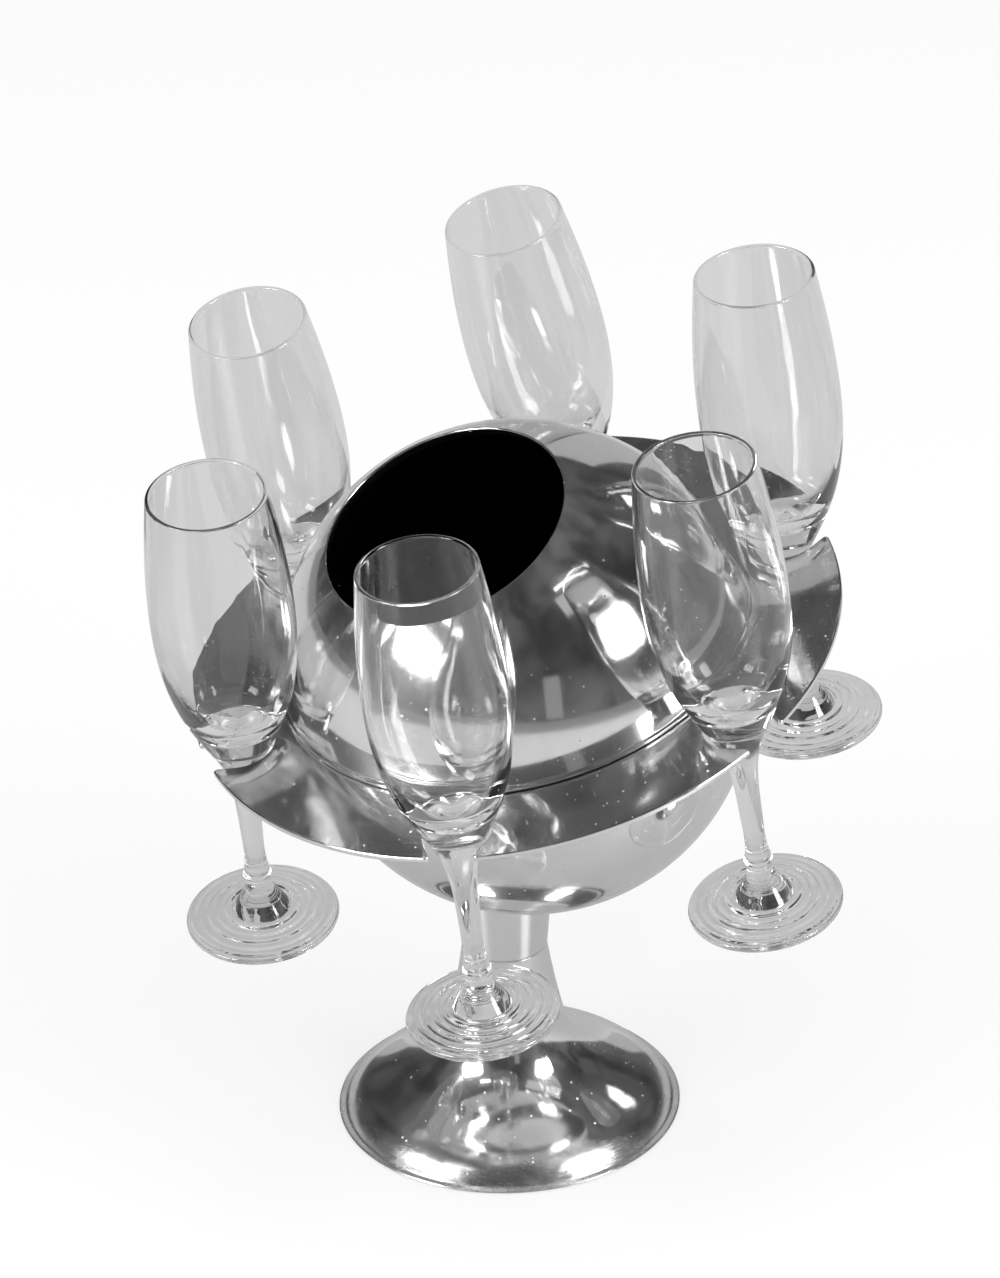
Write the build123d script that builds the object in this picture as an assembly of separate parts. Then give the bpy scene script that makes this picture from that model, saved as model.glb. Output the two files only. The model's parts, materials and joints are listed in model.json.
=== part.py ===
from build123d import *
from math import acos, atan2, cos, hypot, radians, sin, sqrt, tan
import os

# Champagne bucket stand: a trumpet pedestal carries a leaning capsule-shaped bucket, and a
# flat ring round the bucket's waist holds six flutes in open notches.
# Millimetres and degrees. Z is up from the floor, the pedestal's axis is the Z axis, and the
# bucket leans toward -Y.

# Bucket: a round bowl below the ring and a slightly wider dome above it. Drops are from the
# ring's top face down to a sphere's centre, along the bucket's axis, and the set-back is from
# the pedestal's axis to the bowl's centre. The dome's radius follows from its rolled foot.
bucket_r = 92.5
bucket_wall = 2.0
bucket_lean = 13.5
bowl_drop = 25.4
bowl_set_back = 15.95
dome_drop = 9.0

# Black lining, and the loose plate that covers the clamp in the bottom of the bowl
liner_wall = 1.6
liner_gap = 0.2
liner_hole_fit = 2.0
plate_thick = 2.5
plate_room = 2.9

# Mouth in the dome: a plain hole with eased edges, and how far short of it the lining stops
mouth_r = 51.0
mouth_lean = 12.1
mouth_edge_round = 0.5
mouth_setback = 1.6

# Waist joint, from the bowl's flange up through the ring to the dome's rolled foot, where
# the dome's side starts a ledge's width in from the flange's edge
flange_width = 5.8
flange_thick = 2.0
glide_thick = 0.8
glide_inset = 0.3
glide_play = 0.05
ring_play = 0.5
ring_fit = 0.25
foot_roll_r = 0.75
foot_hollow = 0.6
foot_ledge = 1.8
sole_thick = 1.5
skirt_length = 12.0
skirt_wall = 1.5
seal_thick = 1.2
seal_height = 3.0

# Glass ring: each notch is a round hole that opens through a throat in the ring's edge
ring_width = 42.3
ring_thick = 2.5
ring_edge_round = 0.7
notch_count = 6
first_notch_angle = -50.5
notch_r = 13.9
notch_mouth = 16.5
notch_throat = 1.5
notch_corner_r = 1.5

# Flutes: heights are above the ring's top face, and rises are above the foot's underside.
# The foot's top is pressed in low rings.
flute_rim_r = 24.5
flute_rim_height = 122.9
flute_rim_glass = 1.8
flute_belly_r = 29.0
flute_belly_height = 76.0
flute_shoulder_r = 22.6
flute_shoulder_height = 20.0
flute_glass = 1.2
flute_floor_r = 7.5
flute_floor_height = 9.0
flute_taper_r = 9.6
flute_taper_height = -8.0
flute_stem_r = 4.5
flute_stem_rise = 44.8
flute_knop_r = 6.0
flute_knop_rise = 23.8
flute_knop_bulge = 0.6
flute_knop_round = 2.0
flute_button_r = 12.3
flute_button_rise = 6.3
flute_foot_r = 31.5
flute_foot_height = -91.8
flute_foot_edge = 3.0
flute_foot_rings = 5
flute_ring_swell = 0.3
flute_foot_rim = 4.0
flute_foot_hollow = 1.6
seat_clearance = 0.35

# How each glass hangs in its notch: degrees outward, degrees round the ring
flute_hang = [(-5.0, 4.4), (0.9, 4.3), (6.1, 2.0), (-0.1, 0.7), (-2.7, -0.9), (-7.1, 1.6)]

# Trumpet pedestal: a slender neck flares into a shallow cone, which rounds over and drops
# steeply to a narrow flat brim. The insets are from where the side meets the brim.
neck_r = 17.5
neck_height = 79.0
waist_r = 22.3
waist_height = 51.0
flare_r = 28.0
flare_height = 34.0
sweep_r = 38.0
sweep_height = 23.4
cone_inset = 18.4
cone_height = 16.1
shoulder_inset = 7.4
shoulder_height = 10.3
foot_r = 71.4
brim_width = 3.0
brim_thick = 0.9
foot_wall = 2.5
floor_gap = 0.5

# Collar between the neck and the bowl
collar_r = 20.0
collar_height = 23.1
collar_step = 0.3
collar_cup_r = 14.5
collar_cup_floor = 12.0
spigot_r = 10.0
spigot_length = 6.0
spigot_fit = 0.1
gasket_thick = 0.8
gasket_inset = 0.8

# Ballast, floor pad and tie rod
pad_r = 54.0
pad_thick = 1.5
ballast_height = 13.0
ballast_fit = 0.4
rod_r = 4.0
rod_fit = 0.25
rod_end = 1.0
washer_r = 9.0
washer_thick = 1.6
nut_across_flats = 13.0
nut_height = 6.5
nut_chamfer = 0.8
thread_fit = 0.05
nut_recess_fit = 2.0
nut_recess_room = 0.5

# How far a cutting shape runs past the face it cuts
overrun = 1.0

# Worked-out sizes: the waist
inner_r = bucket_r - bucket_wall
liner_r = inner_r - liner_gap
liner_inner_r = liner_r - liner_wall
flange_r = bucket_r + flange_width
dome_side_low = ring_play + 2 * foot_roll_r + foot_hollow
dome_r = hypot(flange_r - foot_ledge, dome_drop + dome_side_low)
dome_inner_r = dome_r - bucket_wall
dome_liner_r = dome_inner_r - liner_gap
skirt_r = inner_r - seal_thick
skirt_low = ring_play - skirt_length
sole_top = ring_play + sole_thick
glide_top = -ring_thick - glide_play
flange_top = glide_top - glide_thick
ring_bore_r = bucket_r + ring_fit
ring_outer_r = bucket_r + ring_width
notch_circle_r = ring_outer_r - notch_throat - notch_r
flute_seat_r = notch_r - seat_clearance

# Worked-out heights above the floor
seat_height = neck_height + collar_height
bowl_centre_height = seat_height + sqrt(bucket_r**2 - bowl_set_back**2)
bowl_floor_height = bowl_centre_height - sqrt(inner_r**2 - bowl_set_back**2)
bowl_floor_slope = bowl_set_back / sqrt(inner_r**2 - bowl_set_back**2)
ballast_top = pad_thick + ballast_height
lower_nut_low = pad_thick + nut_recess_room + rod_end
nut_recess_top = lower_nut_low + nut_height + washer_thick
saddle_top = bowl_floor_height + washer_r * bowl_floor_slope + washer_thick
rod_top = saddle_top + nut_height + rod_end

# Bucket's own frame: origin at the ring's centre on its top face, Z along the bucket's axis
bucket_axis = Vector(0, -sin(radians(bucket_lean)), cos(radians(bucket_lean)))
bowl_centre = Vector(0, bowl_set_back, bowl_centre_height)
ring_centre = bowl_centre + bucket_axis * bowl_drop
bucket_frame = Plane(origin=ring_centre, x_dir=(1, 0, 0), z_dir=bucket_axis)
plate_underside = (Vector(0, 0, rod_top) - ring_centre).dot(bucket_axis) + plate_room


def turned(*edges):
    """Solid turned about Z from a closed outline drawn as (radius, height)."""
    return revolve(Plane.XZ * make_face(Wire(list(edges))), Axis.Z)


def turned_corners(*corners):
    """Solid turned about Z from straight lines between (radius, height) corners."""
    return turned(*Polyline(*corners, close=True).edges())


def tube(inner, outer, low, high):
    return turned_corners((inner, low), (outer, low), (outer, high), (inner, high))


def disc(radius, low, high):
    return turned_corners((0, low), (radius, low), (radius, high), (0, high))


def on_sphere(radius, centre_height, height):
    """Point of a sphere's outline at a height, as (radius, height)."""
    return (sqrt(radius**2 - (height - centre_height) ** 2), height)


def sphere_arc(radius, centre_height, start_height, end_height):
    """Stretch of a sphere's outline between two heights."""
    middle_height = (start_height + end_height) / 2
    return ThreePointArc(on_sphere(radius, centre_height, start_height),
                         on_sphere(radius, centre_height, middle_height),
                         on_sphere(radius, centre_height, end_height))


def outline(*pieces):
    """Joins edges and points, in order, into a closed list of edges."""
    edges = []
    for i, piece in enumerate(pieces):
        start = piece if isinstance(piece, tuple) else piece @ 1
        following = pieces[(i + 1) % len(pieces)]
        end = following if isinstance(following, tuple) else following @ 0
        if not isinstance(piece, tuple):
            edges.append(piece)
        if (Vector(*start) - Vector(*end)).length > 1e-6:
            edges.append(Line(start, end))
    return edges


def in_bucket(shape):
    """Moves a piece from the bucket's own frame to its place on the pedestal."""
    return bucket_frame.location * shape


def in_mouth(shape):
    """Moves a piece from the mouth's frame, at the dome's centre, into the bucket's frame."""
    return Pos(0, 0, -dome_drop) * Rot(mouth_lean, 0, 0) * shape


def at_notch(index, shape):
    """Moves a piece from one notch's centre, X pointing outward, into the bucket's frame."""
    return Rot(0, 0, first_notch_angle + index * 360 / notch_count) * Pos(notch_circle_r, 0, 0) * shape


def rod_bore():
    return disc(rod_r + rod_fit, -overrun, bowl_floor_height + bucket_wall + overrun)


# Pedestal

def trumpet_side(inset):
    """Side of the trumpet from the neck down to its brim, moved in by an inset."""
    low_r = foot_r - brim_width
    corners = [(waist_r, waist_height), (flare_r, flare_height), (sweep_r, sweep_height),
               (low_r - cone_inset, cone_height), (low_r - shoulder_inset, shoulder_height),
               (low_r, floor_gap + brim_thick)]
    return Spline((neck_r - inset, neck_height), *[(r - inset, height - inset) for r, height in corners],
                  tangents=[(0.14, -1), (0.45, -1)])


def trumpet_core(inset, low, high):
    """Inside of the trumpet, one inset in from its surface, between two heights."""
    side = trumpet_side(inset)
    below = low - inset - overrun
    core = turned(*outline(side, ((side @ 1).X, below), (0, below), (0, neck_height)))
    return core & disc(foot_r, low, high)


def pedestal_foot():
    side = trumpet_side(0)
    brim_top = floor_gap + brim_thick
    edge_r = brim_thick / 2
    edge = ThreePointArc((foot_r - edge_r, brim_top), (foot_r, floor_gap + edge_r),
                         (foot_r - edge_r, floor_gap))
    body = turned(*outline(side, edge, (0, floor_gap), (0, neck_height)))
    socket = disc(spigot_r + spigot_fit, neck_height - spigot_length - spigot_fit, neck_height + overrun)
    return body - trumpet_core(foot_wall, -overrun, ballast_top) - rod_bore() - socket


def ballast_disc():
    """Casting that fills the trumpet's foot, with a recess under it for the lower nut."""
    casting = trumpet_core(foot_wall + ballast_fit, pad_thick, ballast_top) & disc(pad_r, 0, ballast_top)
    recess_r = max(washer_r, nut_across_flats / sqrt(3)) + nut_recess_fit
    return casting - disc(recess_r, pad_thick - overrun, nut_recess_top) - rod_bore()


def floor_pad():
    return disc(pad_r, 0, pad_thick)


# Collar and its gasket

def neck_collar():
    foot_radius = neck_r + collar_step
    slope = (collar_r - foot_radius) / collar_height
    top = seat_height + collar_r
    top_r = collar_r + slope * (top - seat_height)
    body = turned_corners((0, neck_height), (foot_radius, neck_height), (top_r, top), (0, top))
    body += disc(spigot_r, neck_height - spigot_length, neck_height)
    cup = disc(collar_cup_r, neck_height + collar_cup_floor, top + overrun)
    seat = Pos(bowl_centre) * Sphere(bucket_r + gasket_thick)
    return body - cup - seat - rod_bore()


def collar_gasket():
    skin = Sphere(bucket_r + gasket_thick) - Sphere(bucket_r)
    band = tube(collar_cup_r + gasket_inset, collar_r - gasket_inset, neck_height, seat_height + collar_r)
    return band & (Pos(bowl_centre) * skin)


# Tie rod and what it clamps

def tie_rod():
    return disc(rod_r, lower_nut_low - rod_end, rod_top)


def hex_nut(low):
    flats = RegularPolygon(nut_across_flats / 2, 6, major_radius=False)
    blank = Pos(0, 0, low) * extrude(flats, nut_height)
    corner_r = nut_across_flats / sqrt(3)
    high = low + nut_height
    trim = turned_corners((0, low), (corner_r - nut_chamfer, low), (corner_r, low + nut_chamfer),
                          (corner_r, high - nut_chamfer), (corner_r - nut_chamfer, high), (0, high))
    return (blank & trim) - disc(rod_r + thread_fit, low - overrun, high + overrun)


def lower_washer():
    return tube(rod_r + rod_fit, washer_r, nut_recess_top - washer_thick, nut_recess_top)


def saddle_washer():
    """Washer whose underside follows the inside of the bowl."""
    blank = tube(rod_r + rod_fit, washer_r, bowl_floor_height - washer_r, saddle_top)
    return blank & (Pos(bowl_centre) * Sphere(inner_r))


# Bucket pieces, drawn in the bucket's own frame

def lower_bowl():
    low = flange_top - flange_thick
    outside = sphere_arc(bucket_r, -bowl_drop, -bowl_drop, -bowl_drop - bucket_r)
    inside = sphere_arc(inner_r, -bowl_drop, -bowl_drop - inner_r, -bowl_drop)
    body = turned(*outline((bucket_r, ring_play), (bucket_r, flange_top), (flange_r, flange_top),
                           (flange_r, low), (bucket_r, low), outside, inside, (inner_r, ring_play)))
    return in_bucket(body) - rod_bore()


def bowl_liner():
    """Lining of the lower bowl, open round the clamp."""
    outside = sphere_arc(liner_r, -bowl_drop, -bowl_drop, -bowl_drop - liner_r)
    inside = sphere_arc(liner_inner_r, -bowl_drop, -bowl_drop - liner_inner_r, -bowl_drop)
    top = skirt_low - liner_gap
    body = turned(*outline((liner_r, top), outside, inside, (liner_inner_r, top)))
    clamp_hole = disc(washer_r + liner_hole_fit, bowl_floor_height - washer_r, rod_top)
    return in_bucket(body) - clamp_hole


def floor_plate():
    """Plate that lies across the bottom of the lining, above the clamp."""
    blank = disc(bucket_r, plate_underside, plate_underside + plate_thick)
    return in_bucket(blank & (Pos(0, 0, -bowl_drop) * Sphere(liner_inner_r - liner_gap)))


def ring_glide():
    return in_bucket(tube(ring_bore_r, flange_r - glide_inset, flange_top, glide_top))


def notch_outline():
    """One open notch: a round hole whose sides run straight out to a narrower mouth."""
    half_mouth = notch_mouth / 2
    edge_x = sqrt(ring_outer_r**2 - half_mouth**2) - notch_circle_r
    turn = atan2(half_mouth, edge_x) + acos(notch_r / hypot(edge_x, half_mouth))
    touch_x = notch_r * cos(turn)
    touch_y = notch_r * sin(turn)
    far_x = edge_x + notch_r
    throat = Polyline((0, 0), (touch_x, touch_y), (edge_x, half_mouth), (far_x, half_mouth),
                      (far_x, -half_mouth), (edge_x, -half_mouth), (touch_x, -touch_y), close=True)
    return Circle(notch_r) + make_face(throat)


def glass_ring():
    plate = Circle(ring_outer_r)
    for i in range(notch_count):
        plate -= at_notch(i, notch_outline())
    corners = [v for v in plate.vertices() if abs(hypot(v.X, v.Y) - ring_outer_r) < ring_fit]
    plate = fillet(corners, notch_corner_r)
    body = Pos(0, 0, -ring_thick) * extrude(plate, ring_thick)
    body = fillet(body.edges().filter_by(Plane.XY), min(ring_edge_round, ring_thick * 0.45))
    return in_bucket(body - disc(ring_bore_r, -ring_thick - overrun, overrun))


def dome_foot():
    """Rolled bead round the dome's foot, and the small hollow above it."""
    roll_x = flange_r - foot_roll_r
    roll_top = ring_play + 2 * foot_roll_r
    roll = ThreePointArc((roll_x, ring_play), (flange_r, ring_play + foot_roll_r), (roll_x, roll_top))
    hollow = Spline((roll_x, roll_top), on_sphere(dome_r, -dome_drop, dome_side_low),
                    tangents=[(-1, 0), (-0.1, 1)])
    return roll, hollow


def dome():
    roll, hollow = dome_foot()
    outside = sphere_arc(dome_r, -dome_drop, dome_side_low, dome_r - dome_drop)
    inside = sphere_arc(dome_inner_r, -dome_drop, dome_inner_r - dome_drop, sole_top)
    skirt_inner_r = skirt_r - skirt_wall
    body = turned(*outline(roll, hollow, outside, inside, (skirt_inner_r, sole_top),
                           (skirt_inner_r, skirt_low), (skirt_r, skirt_low), (skirt_r, ring_play)))
    body -= in_mouth(disc(mouth_r, dome_r / 2, dome_r + overrun))
    walls = body.faces().filter_by(GeomType.CYLINDER).sort_by(lambda wall: abs(wall.radius - mouth_r))
    lips = walls[0].edges().filter_by(GeomType.LINE, reverse=True)
    return in_bucket(fillet(lips, mouth_edge_round))


def dome_liner():
    low = sole_top + liner_gap
    inner = dome_liner_r - liner_wall
    outside = sphere_arc(dome_liner_r, -dome_drop, low, dome_liner_r - dome_drop)
    inside = sphere_arc(inner, -dome_drop, inner - dome_drop, low)
    body = turned(*outline(outside, inside))
    return in_bucket(body - in_mouth(disc(mouth_r + mouth_setback, dome_r / 2, dome_r + overrun)))


def dome_seal():
    middle = ring_play - skirt_length / 2
    return in_bucket(tube(skirt_r, inner_r, middle - seal_height / 2, middle + seal_height / 2))


# Flutes

def flute_bowl():
    """Inside, lip and outside of a glass down to its knop, with the ring's top face at height 0."""
    lip = (flute_rim_r - flute_rim_glass, flute_rim_height)
    inner_shoulder = (flute_shoulder_r - flute_glass * 1.4, flute_shoulder_height + flute_glass * 2)
    inside = Spline((flute_floor_r, flute_floor_height), inner_shoulder,
                    (flute_belly_r - flute_glass, flute_belly_height), lip,
                    tangents=[(1, 0.1), (-0.14, 1)])
    lip_round = flute_rim_glass / 2
    rim = ThreePointArc(lip, (flute_rim_r - lip_round, flute_rim_height + lip_round),
                        (flute_rim_r, flute_rim_height))
    knop_top = flute_foot_height + flute_knop_rise + flute_knop_round
    outside = Spline((flute_rim_r, flute_rim_height), (flute_belly_r, flute_belly_height),
                     (flute_shoulder_r, flute_shoulder_height), (flute_seat_r, 0),
                     (flute_taper_r, flute_taper_height), (flute_stem_r, flute_foot_height + flute_stem_rise),
                     (flute_knop_r - flute_knop_bulge, knop_top), tangents=[(0.14, -1), (0.25, -1)])
    return inside, rim, outside


def flute_foot(start):
    """Knop, button, ringed foot, its edge and the shallow hollow under it."""
    knop_middle = flute_foot_height + flute_knop_rise
    knop = ThreePointArc(start, (flute_knop_r, knop_middle),
                         (flute_knop_r - flute_knop_bulge, knop_middle - flute_knop_round))
    button = Spline(knop @ 1, (flute_button_r, flute_foot_height + flute_button_rise),
                    tangents=[(-0.1, -1), (0.6, -1)])
    edge_r = flute_foot_edge / 2
    edge_top = Vector(flute_foot_r - edge_r, flute_foot_height + flute_foot_edge)
    step = (edge_top - button @ 1) / flute_foot_rings
    rings = []
    for i in range(flute_foot_rings):
        inner = button @ 1 + step * i
        crest = inner + step / 2 + Vector(0, flute_ring_swell)
        rings.append(ThreePointArc(inner, crest, inner + step))
    edge = ThreePointArc(edge_top, (flute_foot_r, flute_foot_height + edge_r),
                         (flute_foot_r - edge_r, flute_foot_height))
    hollow_top = flute_foot_height + flute_foot_hollow
    hollow = Spline((flute_foot_r - flute_foot_rim, flute_foot_height), (flute_stem_r, hollow_top),
                    tangents=[(-1, 0.02), (-1, 0)])
    return knop, button, *rings, edge, hollow, (0, hollow_top)


def flute(index):
    """Hung glass: a leaning one rides up on the edge of its notch."""
    inside, rim, outside = flute_bowl()
    glass = turned(*outline(inside, rim, outside, *flute_foot(outside @ 1), (0, flute_floor_height)))
    outward, around = [tan(radians(angle)) for angle in flute_hang[index % len(flute_hang)]]
    ride_up = flute_seat_r * hypot(outward, around)
    hang = Plane(origin=(0, 0, ride_up), x_dir=(1, 0, 0), z_dir=(outward, around, 1))
    return in_bucket(at_notch(index, hang.location * glass))


pieces = {
    "pedestal_foot": pedestal_foot(),
    "ballast_disc": ballast_disc(),
    "floor_pad": floor_pad(),
    "tie_rod": tie_rod(),
    "lower_washer": lower_washer(),
    "lower_nut": hex_nut(lower_nut_low),
    "neck_collar": neck_collar(),
    "collar_gasket": collar_gasket(),
    "lower_bowl": lower_bowl(),
    "saddle_washer": saddle_washer(),
    "upper_nut": hex_nut(saddle_top),
    "bowl_liner": bowl_liner(),
    "floor_plate": floor_plate(),
    "ring_glide": ring_glide(),
    "glass_ring": glass_ring(),
    "dome": dome(),
    "dome_liner": dome_liner(),
    "dome_seal": dome_seal(),
}
for i in range(notch_count):
    pieces[f"flute_{i + 1}"] = flute(i)

os.makedirs("parts", exist_ok=True)
for name, shape in pieces.items():
    shape.label = name
    export_step(shape, f"parts/{name}.step")
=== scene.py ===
import json
from math import pi, radians, cos, sin, tan

import bmesh
import bpy
import numpy as np
from mathutils import Matrix, Quaternion, Vector
from mathutils.geometry import interpolate_bezier


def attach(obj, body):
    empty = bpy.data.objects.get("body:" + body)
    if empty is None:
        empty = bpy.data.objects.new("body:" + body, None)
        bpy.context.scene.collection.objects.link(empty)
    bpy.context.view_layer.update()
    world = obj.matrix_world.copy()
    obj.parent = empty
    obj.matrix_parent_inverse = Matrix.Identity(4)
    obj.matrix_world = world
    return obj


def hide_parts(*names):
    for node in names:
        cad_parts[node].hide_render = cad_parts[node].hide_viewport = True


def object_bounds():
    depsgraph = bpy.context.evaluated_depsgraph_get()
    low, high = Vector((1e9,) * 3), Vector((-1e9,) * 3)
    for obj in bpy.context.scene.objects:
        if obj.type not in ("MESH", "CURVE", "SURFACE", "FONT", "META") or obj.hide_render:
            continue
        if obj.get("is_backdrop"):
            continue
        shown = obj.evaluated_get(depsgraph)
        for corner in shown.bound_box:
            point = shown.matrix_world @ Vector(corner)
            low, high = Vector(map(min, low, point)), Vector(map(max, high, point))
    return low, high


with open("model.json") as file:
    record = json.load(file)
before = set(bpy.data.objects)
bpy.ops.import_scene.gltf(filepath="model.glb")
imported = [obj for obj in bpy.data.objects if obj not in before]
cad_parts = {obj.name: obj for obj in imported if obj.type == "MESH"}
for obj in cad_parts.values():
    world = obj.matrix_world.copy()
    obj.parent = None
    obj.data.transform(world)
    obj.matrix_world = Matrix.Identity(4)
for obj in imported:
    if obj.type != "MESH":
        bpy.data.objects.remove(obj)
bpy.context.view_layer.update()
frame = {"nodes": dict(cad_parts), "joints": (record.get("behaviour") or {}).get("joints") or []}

# Camera: a long lens three metres off, looking down on the front right of the stand. It is
# rolled a little about its own axis, so that uprights lean in its view.
camera_target = Vector((0.00127, 0.00167, 0.222))
camera_bearing = radians(-37.3)
camera_elevation = radians(29.45)
camera_roll = radians(-1.82)
camera_distance = 2.966
camera_reach = 50
focal_length_mm = 206.5
film_width_mm = 36
lens = bpy.data.cameras.new("camera")
lens.sensor_width = film_width_mm
lens.lens = focal_length_mm
lens.clip_end = camera_reach
camera = bpy.data.objects.new("camera", lens)
bpy.context.collection.objects.link(camera)


def toward(bearing, elevation):
    """Unit vector at an elevation and at a bearing from +X toward +Y, both in radians."""
    return Vector((cos(bearing) * cos(elevation), sin(bearing) * cos(elevation), sin(elevation)))


to_camera = toward(camera_bearing, camera_elevation)
camera.location = camera_target + to_camera * camera_distance
camera.rotation_mode = "QUATERNION"
camera.rotation_quaternion = to_camera.to_track_quat("Z", "Y") @ Quaternion((0, 0, 1), camera_roll)
bpy.context.scene.camera = camera
bpy.context.scene.view_settings.view_transform = "Standard"

# Floor: one wide sheet of pale board with a slight sheen. The camera sees it white, with the
# stand's soft shadow on it. Glass and polished metal show it pale: greyer in the shade close
# to the foot, and fading to dark far off.
board_half = 6.0
board_colour = (0.84, 0.84, 0.84, 1)
board_glow = 0.62
board_white = 1.06
board_gloss = 0.04
board_gloss_roughness = 0.22
board_shade_tone = 0.36
board_open_tone = 0.58
board_far_tone = 0.02
board_shade_run = (0.06, 0.6)
board_fade_run = (1.6, 2.1)


def shader(name):
    """A new material with an empty node tree, and that tree."""
    material = bpy.data.materials.new(name)
    material.use_nodes = True
    material.node_tree.nodes.clear()
    return material, material.node_tree


def add(tree, kind, sockets=None, **settings):
    """Adds a node. Settings are its properties; sockets take values or other nodes' outputs."""
    node = tree.nodes.new(kind)
    for key, value in settings.items():
        setattr(node, key, value)
    for key, value in (sockets or {}).items():
        if isinstance(value, bpy.types.NodeSocket):
            tree.links.new(value, node.inputs[key])
        else:
            node.inputs[key].default_value = value
    return node


def maths(tree, operation, *values, **settings):
    """The result of one sum on numbers."""
    sum_node = add(tree, "ShaderNodeMath", dict(enumerate(values)), operation=operation, **settings)
    return sum_node.outputs[0]


def vectors(tree, operation, *values):
    """The result of one sum on vectors, which is a number where a length is asked for."""
    sum_node = add(tree, "ShaderNodeVectorMath", dict(enumerate(values)), operation=operation)
    return sum_node.outputs["Value" if operation == "LENGTH" else "Vector"]


def ranged(tree, value, given, wanted=(0.0, 1.0), interpolation="LINEAR"):
    """A value moved from one range into another, and held at its ends."""
    sockets = {"Value": value, "From Min": given[0], "From Max": given[1], "To Min": wanted[0],
               "To Max": wanted[1]}
    return add(tree, "ShaderNodeMapRange", sockets, interpolation_type=interpolation).outputs[0]


def between(tree, share, low, high):
    """A number between two others, at a share of the way."""
    return add(tree, "ShaderNodeMix", {0: share, 2: low, 3: high}).outputs[0]


def colour_between(tree, share, low, high):
    """A colour between two others, at a share of the way."""
    return add(tree, "ShaderNodeMix", {0: share, 6: low, 7: high}, data_type="RGBA").outputs[2]


def blended(tree, share, low, high):
    """Two surfaces laid over each other, the second one at a share."""
    return add(tree, "ShaderNodeMixShader", {0: share, 1: low, 2: high}).outputs[0]


def sheet_object(name, half_width, half_depth, material):
    """A flat sheet in its own XY plane, made part of the stage."""
    mesh = bpy.data.meshes.new(name)
    sheet = bmesh.new()
    bmesh.ops.create_grid(sheet, x_segments=1, y_segments=1, size=1,
                          matrix=Matrix.Diagonal((half_width, half_depth, 1, 1)))
    sheet.to_mesh(mesh)
    sheet.free()
    mesh.materials.append(material)
    thing = bpy.data.objects.new(name, mesh)
    bpy.context.collection.objects.link(thing)
    thing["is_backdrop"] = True
    return thing


board, tree = shader("pale_board")
ray = add(tree, "ShaderNodeLightPath").outputs
spot = add(tree, "ShaderNodeTexCoord").outputs["Object"]
run = vectors(tree, "LENGTH", spot)
tone = ranged(tree, run, board_shade_run, (board_shade_tone, board_open_tone))
fade = ranged(tree, run, board_fade_run, interpolation="SMOOTHSTEP")
tone = between(tree, fade, tone, board_far_tone)
tone = between(tree, ray["Is Camera Ray"], tone, board_white)
seen = maths(tree, "ADD", ray["Is Camera Ray"], ray["Is Glossy Ray"])
seen = maths(tree, "ADD", seen, ray["Is Transmission Ray"], use_clamp=True)
share = maths(tree, "MULTIPLY", seen, board_glow)
matt = add(tree, "ShaderNodeBsdfDiffuse", {"Color": board_colour})
glow = add(tree, "ShaderNodeEmission", {"Strength": tone})
body = blended(tree, share, matt.outputs[0], glow.outputs[0])
sheen = add(tree, "ShaderNodeBsdfGlossy", {"Roughness": board_gloss_roughness})
share = maths(tree, "SUBTRACT", 1.0, ray["Is Camera Ray"])
share = maths(tree, "MULTIPLY", share, board_gloss)
body = blended(tree, share, body, sheen.outputs[0])
add(tree, "ShaderNodeOutputMaterial", {"Surface": body})
sheet_object("floor", board_half, board_half, board)

# Room: a plain even light for the object, and white for the camera. Glass and polished metal
# show the room itself: grey near the floor, dark above, and a little uneven.
room_white = 1.0
room_light = 1.0
room_low_tone = 0.11
room_mid_tone = 0.07
room_top_tone = 0.05
room_low_rise = (0.0, 0.3)
room_top_rise = (0.6, 0.95)
room_patches = 3.2
room_patch_limits = (0.34, 0.66)
room_patch_gains = (0.45, 1.7)
room = bpy.data.worlds.new("studio")
bpy.context.scene.world = room
room.use_nodes = True
room.cycles.sampling_method = "NONE"
tree = room.node_tree
tree.nodes.clear()
ray = add(tree, "ShaderNodeLightPath").outputs
spot = add(tree, "ShaderNodeTexCoord").outputs["Generated"]
rise = add(tree, "ShaderNodeSeparateXYZ", {0: spot}).outputs["Z"]
low = ranged(tree, rise, room_low_rise, (room_low_tone, room_mid_tone), "SMOOTHSTEP")
top = ranged(tree, rise, room_top_rise, (0.0, room_top_tone), "SMOOTHSTEP")
tone = maths(tree, "ADD", low, top)
patch = add(tree, "ShaderNodeTexNoise", {"Vector": spot, "Scale": room_patches, "Detail": 2.0,
                                         "Roughness": 0.55, "Distortion": 0.4})
patch = ranged(tree, patch.outputs["Fac"], room_patch_limits, room_patch_gains, "SMOOTHSTEP")
tone = maths(tree, "MULTIPLY", tone, patch)
seen = maths(tree, "ADD", ray["Is Glossy Ray"], ray["Is Transmission Ray"], use_clamp=True)
tone = between(tree, seen, room_light, tone)
tone = between(tree, ray["Is Camera Ray"], tone, room_white)
sky = add(tree, "ShaderNodeBackground", {"Strength": tone})
add(tree, "ShaderNodeOutputWorld", {"Surface": sky.outputs[0]})

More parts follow.
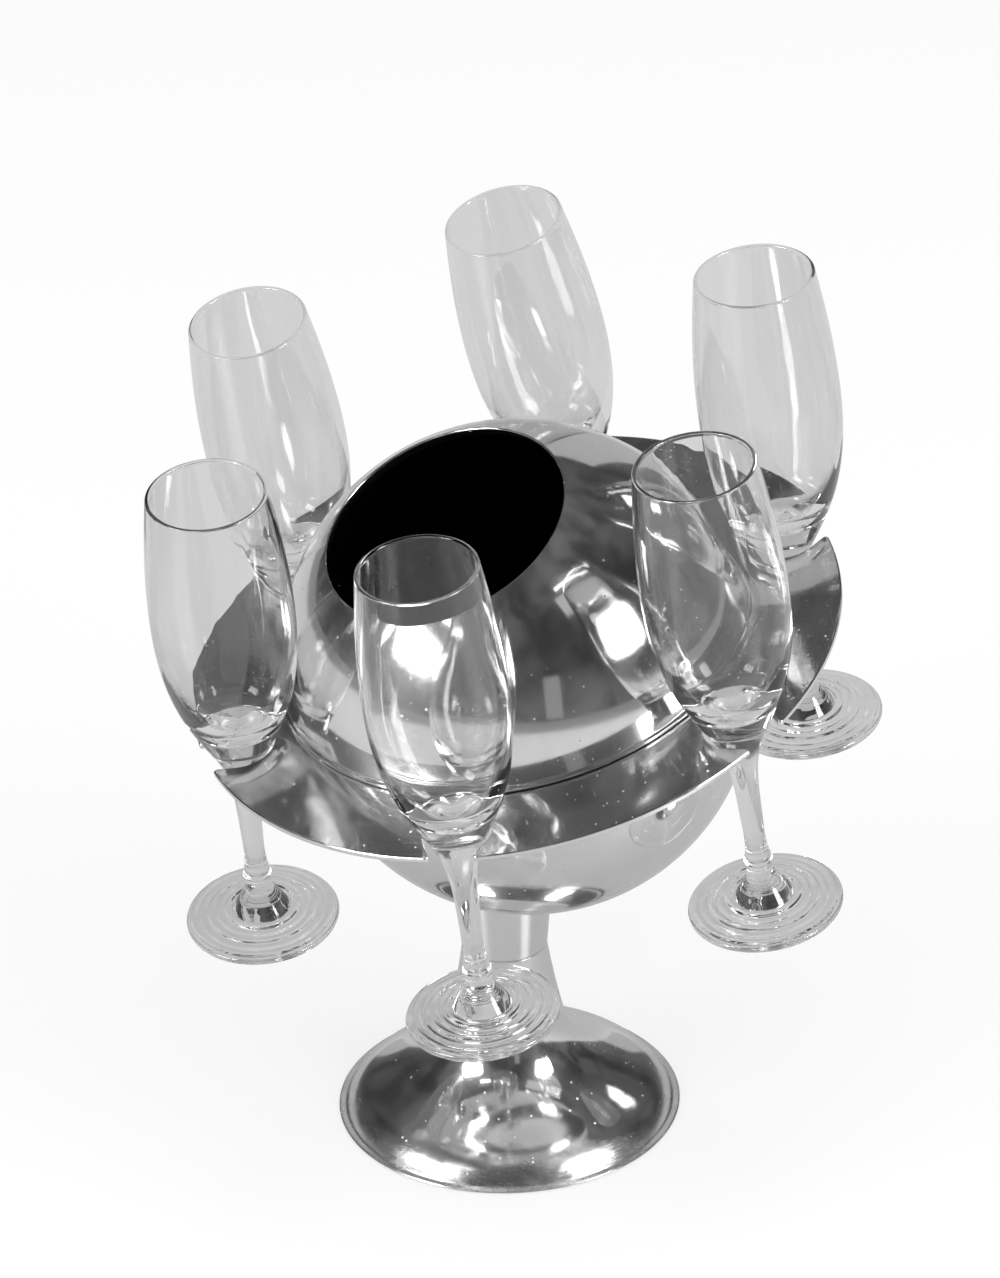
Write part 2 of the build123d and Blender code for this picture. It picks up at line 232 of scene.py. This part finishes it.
# Studio panels: a grey backdrop behind the stand, a softbox on each side, a strip, a hood, a
# doorway and small lamps, which show only in metal and glass, as shapes with soft edges. Two
# lamps at the softboxes, which show in nothing, light the floor and cast the soft shadow.
panel_falloff = 5.0
bounce_limit = 0.5
panels = {  # bearing, elevation, distance, width, height, radiance, feather
    "backdrop": (142, 13, 1.35, 1.2, 1.2, 0.47, 0.05),
    "softbox_right": (20, 27, 1.8, 1.08, 1.12, 24.0, 0.34),
    "softbox_right_hood": (14, 50, 1.8, 0.92, 0.36, 0.5, 0.03),
    "doorway": (-22, 9, 2.2, 0.34, 0.8, 0.3, 0.03),
    "strip_right": (14, 58.5, 1.8, 0.70, 0.06, 8.0, 0.03),
    "softbox_left": (-97, 25, 1.8, 1.2, 0.85, 28.0, 0.28),
    "patch_left": (-78, 43, 1.8, 0.45, 0.16, 5.0, 0.05),
    "lamps_behind": (98, 34, 1.9, 0.30, 0.34, 2.5, 0.08),
    "ceiling_lamp": (60, 84, 1.8, 0.5, 0.5, 3.0, 0.25),
}
lamps = {  # bearing, elevation, distance, width, watts
    "lamp_right": (20, 35, 1.8, 0.9, 14),
    "lamp_left": (-97, 35, 1.8, 0.9, 12),
}


def face_bucket(thing, bearing, elevation, distance):
    """Puts a panel or lamp off at two angles in degrees, turned to the bucket. The camera
    doesn't see it."""
    away = toward(radians(bearing), radians(elevation))
    thing.location = camera_target + away * distance
    thing.rotation_euler = away.to_track_quat("Z", "Y").to_euler()
    thing.visible_camera = False


def panel(name, bearing, elevation, distance, width, height, radiance, feather):
    """A sheet that glows, and fades out over the width of its feather at each edge."""
    material, tree = shader(name)
    spot = add(tree, "ShaderNodeTexCoord").outputs["Object"]
    inward = vectors(tree, "SUBTRACT", (width / 2, height / 2, 0), vectors(tree, "ABSOLUTE", spot))
    sides = add(tree, "ShaderNodeSeparateXYZ", {0: inward}).outputs
    fades = [ranged(tree, side, (0.0, feather), interpolation="SMOOTHSTEP") for side in sides[:2]]
    lit = maths(tree, "MULTIPLY", *fades)
    lit = maths(tree, "POWER", lit, panel_falloff)
    ray = add(tree, "ShaderNodeLightPath").outputs
    direct = maths(tree, "LESS_THAN", ray["Diffuse Depth"], bounce_limit)
    lit = maths(tree, "MULTIPLY", lit, direct)
    glow = add(tree, "ShaderNodeEmission", {"Strength": radiance})
    clear = add(tree, "ShaderNodeBsdfTransparent")
    body = blended(tree, lit, clear.outputs[0], glow.outputs[0])
    add(tree, "ShaderNodeOutputMaterial", {"Surface": body})
    sheet = sheet_object(name, width / 2, height / 2, material)
    face_bucket(sheet, bearing, elevation, distance)
    sheet.visible_diffuse = False
    sheet.visible_shadow = False


def lamp(name, bearing, elevation, distance, width, watts):
    """A square lamp that lights the floor and the object, and shows in no reflection."""
    light = bpy.data.lights.new(name, "AREA")
    light.size = width
    light.energy = watts
    holder = bpy.data.objects.new(name, light)
    bpy.context.collection.objects.link(holder)
    face_bucket(holder, bearing, elevation, distance)
    holder.visible_glossy = False
    holder.visible_transmission = False


for name, sizes in panels.items():
    panel(name, *sizes)
for name, sizes in lamps.items():
    lamp(name, *sizes)

# Pedestal: a spun aluminium trumpet, polished by hand on the wheel, so a thin haze glows round
# its highlights. Fine turning lines run round it, with stray scratches, pits and smudges. It is
# a little wavy, its edges are eased, and its rim is rubbed dull.
line_pitch = (4200, 4200, 0)
line_turns = (16, 16, 0)
line_run = 900
line_limits = (0.56, 0.66)
line_depth = 3e-7
ripple_pitch = (150, 150, 0)
ripple_turns = (0.9, 0.9, 0)
ripple_share = 0.25
stray_turns = [(0.4, 0.3, 0.9), (1.5, 0.2, -0.6), (-0.7, 1.1, 0.1)]
stray_size = (1 / 2400, 1 / 2400, 1 / 40)
stray_limits = (0.74, 0.80)
stray_dullness = 0.08
stray_share = -0.6
pit_pitch = 330.0
pit_sizes = (0.08, 0.19)
pit_dullness = 0.7
crowd_pitch = 22.0
crowd_limits = (0.4, 0.68)
crowd_chances = (0.98, 0.55)
smudge_pitch = 48.0
smudge_limits = (0.38, 0.72)
mirror_roughness = (0.05, 0.12)
wave_pitch = 34.0
rub_width = 0.016
rub_dullness = 0.3
edge_samples = 4
clean_aluminium = (0.86, 0.86, 0.865, 1)
smudged_aluminium = (0.74, 0.74, 0.745, 1)
pit_white = (1, 1, 1, 1)
grain_turn = 0.25
haze = {"Coat Weight": 1.0, "Coat Roughness": 0.38, "Coat IOR": 1.7}
foot_rim_r = 0.069
outer_edge_round = 0.0014


def buffed_group():
    """Roughness, normal and masks of hand-polished metal, turned about Z in its own place."""
    group = bpy.data.node_groups.new("buffed_surface", "ShaderNodeTree")
    for name, kind in [("Place", "Vector"), ("Wave Depth", "Float"), ("Pits", "Float"),
                       ("Wear", "Float"), ("Rim Radius", "Float"), ("Edge Radius", "Float")]:
        group.interface.new_socket(name, in_out="INPUT", socket_type="NodeSocket" + kind)
    for name, kind in [("Roughness", "Float"), ("Normal", "Vector"), ("Pit Mask", "Float"),
                       ("Smudge", "Float")]:
        group.interface.new_socket(name, in_out="OUTPUT", socket_type="NodeSocket" + kind)
    given = add(group, "NodeGroupInput").outputs
    place = given["Place"]

    # Turning lines: noise that changes fast across the radius and height, slowly round the axis
    parts = add(group, "ShaderNodeSeparateXYZ", {0: place}).outputs
    flat = add(group, "ShaderNodeCombineXYZ", {0: parts[0], 1: parts[1]}).outputs[0]
    radius = vectors(group, "LENGTH", flat)
    around = vectors(group, "NORMALIZE", flat)
    across = add(group, "ShaderNodeCombineXYZ", {0: radius, 1: parts[2]}).outputs[0]
    fine = vectors(group, "MULTIPLY", across, line_pitch)
    fine = vectors(group, "MULTIPLY_ADD", around, line_turns, fine)
    height = maths(group, "MULTIPLY", parts[2], line_run)
    lines = add(group, "ShaderNodeTexNoise", {"Vector": fine, "W": height, "Scale": 1.0, "Detail": 2.0,
                                              "Roughness": 0.6}, noise_dimensions="4D").outputs["Fac"]
    slow = vectors(group, "MULTIPLY", across, ripple_pitch)
    slow = vectors(group, "MULTIPLY_ADD", around, ripple_turns, slow)
    ripple = add(group, "ShaderNodeTexNoise", {"Vector": slow, "Scale": 1.0, "Detail": 1.0}).outputs["Fac"]

    # Stray scratches: sets of long thin streaks, each turned its own way
    streaks = []
    for turn in stray_turns:
        laid = add(group, "ShaderNodeMapping", {"Vector": place, "Rotation": turn, "Scale": stray_size},
                   vector_type="TEXTURE")
        noise = add(group, "ShaderNodeTexNoise", {"Vector": laid.outputs[0], "Scale": 1.0, "Detail": 1.0})
        streaks.append(ranged(group, noise.outputs["Fac"], stray_limits))
    stray = streaks[0]
    for streak in streaks[1:]:
        stray = maths(group, "MAXIMUM", stray, streak)

    # Pits: small bright dots that crowd together in places
    dots = add(group, "ShaderNodeTexVoronoi", {"Vector": place, "Scale": pit_pitch, "Randomness": 1.0})
    chance = add(group, "ShaderNodeSeparateColor", {0: dots.outputs["Color"]}).outputs
    crowd = add(group, "ShaderNodeTexNoise", {"Vector": place, "Scale": crowd_pitch, "Detail": 2.0})
    limit = ranged(group, crowd.outputs["Fac"], crowd_limits, crowd_chances)
    picked = maths(group, "GREATER_THAN", chance[0], limit)
    size = ranged(group, chance[1], (0.0, 1.0), pit_sizes)
    near = maths(group, "LESS_THAN", dots.outputs["Distance"], size)
    pit = maths(group, "MULTIPLY", near, picked)
    pit = maths(group, "MULTIPLY", pit, given["Pits"])

    # Roughness: a mirror, dulled by smudges, turning lines, scratches, the rub at a rim and pits
    smudge = add(group, "ShaderNodeTexNoise", {"Vector": place, "Scale": smudge_pitch, "Detail": 5.0,
                                               "Roughness": 0.65, "Distortion": 0.8}).outputs["Fac"]
    rough = ranged(group, smudge, smudge_limits, mirror_roughness)
    worn = ranged(group, lines, line_limits)
    rough = maths(group, "MULTIPLY_ADD", worn, given["Wear"], rough)
    rough = maths(group, "MULTIPLY_ADD", stray, stray_dullness, rough)
    begin = maths(group, "SUBTRACT", given["Rim Radius"], rub_width)
    rubbed = ranged(group, radius, (begin, given["Rim Radius"]), (0.0, rub_dullness), "SMOOTHSTEP")
    rough = maths(group, "MULTIPLY_ADD", rubbed, smudge, rough)
    rough = maths(group, "MULTIPLY_ADD", pit, pit_dullness, rough, use_clamp=True)

    # Relief: eased edges, slow waves, ripples round the axis, then the lines and scratches
    waves = add(group, "ShaderNodeTexNoise", {"Vector": place, "Scale": wave_pitch, "Detail": 1.5,
                                              "Roughness": 0.4}).outputs["Fac"]
    ripple_depth = maths(group, "MULTIPLY", given["Wave Depth"], ripple_share)
    marks = maths(group, "MULTIPLY_ADD", stray, stray_share, lines)
    normal = add(group, "ShaderNodeBevel", {"Radius": given["Edge Radius"]}, samples=edge_samples).outputs[0]
    for depth, relief in [(given["Wave Depth"], waves), (ripple_depth, ripple), (line_depth, marks)]:
        normal = add(group, "ShaderNodeBump", {"Distance": depth, "Height": relief,
                                               "Normal": normal}).outputs[0]
    add(group, "NodeGroupOutput", {"Roughness": rough, "Normal": normal, "Pit Mask": pit, "Smudge": smudge})
    return group


buffed_surface = buffed_group()


def polished(name, centre, axis, wave_depth, pits, wear, edge_round=0.0, grain=0.5, rim_r=1.0):
    """Polished aluminium turned about an axis through a centre. The metal from rub_width inside
    rim_r outward is rubbed dull; a rim_r of 1 m lies beyond every piece and rubs nothing."""
    material, tree = shader(name)
    spot = add(tree, "ShaderNodeTexCoord").outputs["Object"]
    upright = axis.rotation_difference(Vector((0, 0, 1)))
    place = add(tree, "ShaderNodeMapping", {"Vector": spot, "Location": -(upright @ centre),
                                            "Rotation": upright.to_euler()})
    surface = add(tree, "ShaderNodeGroup",
                  {"Place": place.outputs[0], "Wave Depth": wave_depth, "Pits": pits, "Wear": wear,
                   "Rim Radius": rim_r, "Edge Radius": edge_round}, node_tree=buffed_surface).outputs
    around = vectors(tree, "CROSS_PRODUCT", axis, vectors(tree, "SUBTRACT", spot, centre))
    around = vectors(tree, "NORMALIZE", around)
    colour = colour_between(tree, surface["Smudge"], clean_aluminium, smudged_aluminium)
    colour = colour_between(tree, surface["Pit Mask"], colour, pit_white)
    metal = add(tree, "ShaderNodeBsdfPrincipled",
                {"Base Color": colour, "Metallic": 1.0, "Roughness": surface["Roughness"],
                 "Normal": surface["Normal"], "Anisotropic": grain, "Anisotropic Rotation": grain_turn,
                 "Tangent": around, **haze})
    add(tree, "ShaderNodeOutputMaterial", {"Surface": metal.outputs[0]})
    return material


def dress(material, *nodes):
    """Gives one material to each of the named CAD nodes."""
    for node in nodes:
        slots = frame["nodes"][node].data.materials
        slots.clear()
        slots.append(material)


up = Vector((0, 0, 1))
floor_centre = Vector((0, 0, 0))
foot_metal = polished("foot_aluminium", floor_centre, up, wave_depth=6e-5, pits=1.0, wear=0.08,
                      edge_round=outer_edge_round, rim_r=foot_rim_r)
dress(foot_metal, "pedestal_foot")

# Collar: a short cone turned from the same aluminium, and polished like the foot. The tie rod
# clamps it between the top of the neck and the leaning bowl.
collar_metal = polished("collar_aluminium", floor_centre, up, wave_depth=2e-5, pits=0.4, wear=0.06,
                        edge_round=outer_edge_round)
dress(collar_metal, "neck_collar")

# Ballast: a round iron casting that fills the trumpet's foot, painted against rust. The tie
# rod's lower nut holds it up there, and its weight keeps the leaning bucket from tipping.
grain_dullness = (0.85, 1.15)


def mottled(name, dark, light, pitch, roughness, relief, extra=None):
    """A plain solid colour with a fine uneven grain: paint, rubber, plating or plastic."""
    material, tree = shader(name)
    spot = add(tree, "ShaderNodeTexCoord").outputs["Object"]
    grain = add(tree, "ShaderNodeTexNoise", {"Vector": spot, "Scale": pitch, "Detail": 4.0}).outputs["Fac"]
    colour = colour_between(tree, grain, (*dark, 1), (*light, 1))
    dull = ranged(tree, grain, (0.0, 1.0), [roughness * share for share in grain_dullness])
    bumped = add(tree, "ShaderNodeBump", {"Distance": relief, "Height": grain})
    body = add(tree, "ShaderNodeBsdfPrincipled", {"Base Color": colour, "Roughness": dull,
                                                  "Normal": bumped.outputs[0], **(extra or {})})
    add(tree, "ShaderNodeOutputMaterial", {"Surface": body.outputs[0]})
    return material


iron = mottled("ballast_iron", dark=(0.09, 0.09, 0.09), light=(0.15, 0.15, 0.15), pitch=900,
               roughness=0.7, relief=1.2e-4)
dress(iron, "ballast_disc")

# Floor pad, collar gasket and dome seal: moulded black rubber. The pad lies under the ballast
# and carries the stand, the gasket closes the gap between collar and bowl, and the seal grips
# the dome's skirt in the bowl.
rubber = mottled("black_rubber", dark=(0.035, 0.035, 0.035), light=(0.06, 0.06, 0.06), pitch=1400,
                 roughness=0.8, relief=5e-5)
dress(rubber, "floor_pad", "collar_gasket", "dome_seal")

# Tie rod, nuts and washers: turned steel with a zinc plating. The rod runs up the middle of
# the foot, and its two nuts clamp ballast, foot, collar and bowl together.
zinc = mottled("zinc_steel", dark=(0.55, 0.55, 0.53), light=(0.68, 0.68, 0.66), pitch=700,
               roughness=0.38, relief=1e-5, extra={"Metallic": 1.0})
dress(zinc, "tie_rod", "lower_nut", "lower_washer", "saddle_washer", "upper_nut")

# Lower bowl: a half sphere of spun aluminium on the bucket's own leaning axis, polished, with
# a flange for the ring. The rod's upper nut holds it down on the collar.
ring_joint = next(joint for joint in frame["joints"] if joint["name"] == "ring_turn")
ring_centre = Vector(ring_joint["pos_m"])
bucket_axis = Vector(ring_joint["axis"])
bowl_metal = polished("bowl_aluminium", ring_centre, bucket_axis, wave_depth=5e-5, pits=0.6, wear=0.06)
dress(bowl_metal, "lower_bowl")

# Lining and the plate at its bottom: thin shells inside the bowl and the dome, coloured almost
# pure black with next to no gloss, as painted shade for the dark inside of the bucket. The loose
# plate covers the upper nut.
inside_painted_shade = mottled("black_lining", dark=(0.001, 0.001, 0.001), light=(0.003, 0.003, 0.003), pitch=600,
                 roughness=0.85, relief=2e-5, extra={"Specular IOR Level": 0.05})
dress(inside_painted_shade, "bowl_liner", "dome_liner", "floor_plate")

# Ring: a flat aluminium plate with six open notches, its faces turned and polished. It turns
# round the bucket on a thin slip ring of nylon, which lies on the bowl's flange.
ring_metal = polished("ring_aluminium", ring_centre, bucket_axis, wave_depth=5e-5, pits=1.0, wear=0.13,
                      edge_round=0.0005, grain=0.9)
dress(ring_metal, "glass_ring")
nylon = mottled("glide_nylon", dark=(0.80, 0.80, 0.77), light=(0.88, 0.88, 0.85), pitch=500,
                roughness=0.45, relief=1e-5)
dress(nylon, "ring_glide")

# Dome: a cap of spun aluminium with a rolled foot and a plain round mouth, polished like the
# rest. Its skirt stands in the bowl, held by the rubber seal.
dome_metal = polished("dome_aluminium", ring_centre, bucket_axis, wave_depth=5e-5, pits=1.0, wear=0.07)
dress(dome_metal, "dome")

# Flutes: clear pressed glass, each turned from one outline, with a fire-polished rim, a knop
# on its stem and a foot pressed in low rings. A glass hangs by its bowl in an open notch of
# the ring, and leans a little in it. Heights are above the ring's top face.
flute_turns = 128
rim_r = 0.0245
rim_height = 0.1229
rim_glass = 0.0018
wall_glass = 0.0012
shoulder_glass = (1.4, 2.0)
belly = (0.0290, 0.076)
shoulder = (0.0226, 0.020)
seat_r = 0.01355
taper = (0.0096, -0.008)
stem = (0.0045, -0.047)
bowl_floor = (0.0075, 0.009)
foot_height = -0.0918
foot_r = 0.0315
foot_edge = 0.003
foot_rim = 0.004
foot_hollow = 0.0016
ring_swells = [0.0010, 0.0006, 0.0009, 0.0005, 0.0008]
knop_height = -0.068
knop_r = 0.006
knop_waist = (0.0054, 0.002)
button = (0.0123, -0.0855)
line_step = 0.0012
button_step = 0.0006
edge_steps = 12
knop_steps = 8
ring_steps = 7
same_place = 1e-6
first_notch = radians(-50.5)
notch_circle_r = 0.1194
flute_hang = [(-5.0, 4.4), (0.9, 4.3), (6.1, 2.0), (-0.1, 0.7), (-2.7, -0.9), (-7.1, 1.6)]
glass_tone = (0.965, 0.965, 0.965, 1)
glass_index = 1.5
glass_wave_stretch = (1, 1, 0.15)
glass_wave_pitch = 110.0
glass_wave_depth = 1.8e-4
glass_mirrorings = 3.5


def spline(points, first, last, step=line_step):
    """Points along the smooth cubic line through some points, with given end directions."""
    points = np.array(points)
    spans = np.linalg.norm(np.diff(points, axis=0), axis=1)
    count = len(points)
    rows = np.zeros((count, count))
    values = np.zeros((count, 2))
    rows[0, 0] = rows[-1, -1] = 1
    values[0] = np.array(first) / np.hypot(*first)
    values[-1] = np.array(last) / np.hypot(*last)
    for i in range(1, count - 1):
        before, after = spans[i - 1], spans[i]
        rows[i, i - 1:i + 2] = after, 2 * (before + after), before
        values[i] = 3 * (after / before * (points[i] - points[i - 1])
                         + before / after * (points[i + 1] - points[i]))
    slopes = np.linalg.solve(rows, values)
    line = []
    for i, span in enumerate(spans):
        handle = span / 3
        knots = [points[i], points[i] + slopes[i] * handle,
                 points[i + 1] - slopes[i + 1] * handle, points[i + 1]]
        steps = max(4, round(span / step))
        line += interpolate_bezier(*[Vector((*knot, 0)) for knot in knots], steps + 1)[:-1]
    return [(point.x, point.y) for point in line]


def bow(start, end, swell, steps):
    """Points of a shallow bulge between two points, to the left of the way from start to end."""
    start, end = Vector(start), Vector(end)
    side = (end - start).orthogonal().normalized()
    return [tuple(start.lerp(end, i / steps) + side * swell * sin(pi * i / steps)) for i in range(steps)]


def half_round(inner_x, outer_x, height, steps):
    """Points over the top half of a circle, from one radius out to another."""
    middle = (inner_x + outer_x) / 2
    radius = (outer_x - inner_x) / 2
    return [(middle - radius * cos(pi * i / steps), height + radius * sin(pi * i / steps))
            for i in range(steps)]


def flute_outline():
    """Radii and heights of a glass: up its inside, over the rim, down its outside and foot."""
    inner_shoulder = (shoulder[0] - wall_glass * shoulder_glass[0],
                      shoulder[1] + wall_glass * shoulder_glass[1])
    inner_belly = (belly[0] - wall_glass, belly[1])
    lip = (rim_r - rim_glass, rim_height)
    rim = (rim_r, rim_height)
    line = [(0, bowl_floor[1]), (bowl_floor[0] / 2, bowl_floor[1])]
    line += spline([bowl_floor, inner_shoulder, inner_belly, lip], first=(1, 0.1), last=(-0.14, 1))
    line += half_round(lip[0], rim_r, rim_height, edge_steps)

    knop_top = (knop_waist[0], knop_height + knop_waist[1])
    knop_low = (knop_waist[0], knop_height - knop_waist[1])
    line += spline([rim, belly, shoulder, (seat_r, 0), taper, stem, knop_top],
                   first=(0.14, -1), last=(0.25, -1))
    line += bow(knop_top, knop_low, knop_r - knop_waist[0], knop_steps)
    line += spline([knop_low, button], first=(-0.1, -1), last=(0.6, -1), step=button_step)

    edge_r = foot_edge / 2
    edge_top = Vector((foot_r - edge_r, foot_height + foot_edge))
    for i, swell in enumerate(ring_swells):
        ring = [Vector(button).lerp(edge_top, (i + k) / len(ring_swells)) for k in (0, 1)]
        line += bow(*ring, swell, ring_steps)
    for i in range(edge_steps + 1):
        turn = pi * i / edge_steps
        line.append((edge_top.x + edge_r * sin(turn), foot_height + edge_r + edge_r * cos(turn)))

    hollow_top = foot_height + foot_hollow
    line += spline([(foot_r - foot_rim, foot_height), (stem[0], hollow_top)], first=(-1, 0.02), last=(-1, 0))
    return line + [(stem[0], hollow_top), (0, hollow_top)]


def turned_glass(name, outline, place):
    """A glass spun from its outline about its own axis, then set in its place."""
    spun = bmesh.new()
    corners = [spun.verts.new((radius, 0, height)) for radius, height in outline]
    edges = [spun.edges.new(pair) for pair in zip(corners, corners[1:])]
    bmesh.ops.spin(spun, geom=corners + edges, cent=(0, 0, 0), axis=(0, 0, 1), angle=2 * pi,
                   steps=flute_turns, use_merge=True)
    bmesh.ops.remove_doubles(spun, verts=spun.verts, dist=same_place)
    bmesh.ops.recalc_face_normals(spun, faces=spun.faces)
    for face in spun.faces:
        face.smooth = True
    bmesh.ops.transform(spun, matrix=place, verts=spun.verts)
    mesh = bpy.data.meshes.new(name)
    spun.to_mesh(mesh)
    spun.free()
    piece = bpy.data.objects.new(name, mesh)
    bpy.context.collection.objects.link(piece)
    return piece


# The pressed glass is a little wavy. Light that has been mirrored several times inside a wall
# is let out, so that a glass stays clear instead of filling with dark patches.
glass, tree = shader("flute_glass")
spot = add(tree, "ShaderNodeTexCoord").outputs["Object"]
place = add(tree, "ShaderNodeMapping", {"Vector": spot, "Scale": glass_wave_stretch}).outputs[0]
waves = add(tree, "ShaderNodeTexNoise", {"Vector": place, "Scale": glass_wave_pitch, "Detail": 1.0})
bumped = add(tree, "ShaderNodeBump", {"Distance": glass_wave_depth, "Height": waves.outputs["Fac"]})
clear = add(tree, "ShaderNodeBsdfPrincipled",
            {"Base Color": glass_tone, "Roughness": 0.0, "IOR": glass_index, "Transmission Weight": 1.0,
             "Normal": bumped.outputs[0]})
ray = add(tree, "ShaderNodeLightPath").outputs
trapped = maths(tree, "GREATER_THAN", ray["Glossy Depth"], glass_mirrorings)
let_out = add(tree, "ShaderNodeBsdfTransparent")
body = blended(tree, trapped, clear.outputs[0], let_out.outputs[0])
add(tree, "ShaderNodeOutputMaterial", {"Surface": body})

outward_zero = Vector((1, 0, 0))
round_zero = bucket_axis.cross(outward_zero)
for number, (outward_lean, round_lean) in enumerate(flute_hang, 1):
    turn = first_notch + (number - 1) * 2 * pi / len(flute_hang)
    outward = outward_zero * cos(turn) + round_zero * sin(turn)
    onward = bucket_axis.cross(outward)
    leans = tan(radians(outward_lean)), tan(radians(round_lean))
    axis = (bucket_axis + outward * leans[0] + onward * leans[1]).normalized()
    sideways = axis.cross(outward).normalized()
    frame_axes = Matrix((sideways.cross(axis), sideways, axis)).transposed().to_4x4()
    ride_up = seat_r * Vector(leans).length
    pivot = ring_centre + outward * notch_circle_r + bucket_axis * ride_up
    flute = turned_glass(f"glass_{number}", flute_outline(), Matrix.Translation(pivot) @ frame_axes)
    flute.data.materials.append(glass)
    dress(glass, f"flute_{number}")
    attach(flute, f"flute_{number}")
    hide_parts(f"flute_{number}")

low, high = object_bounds()
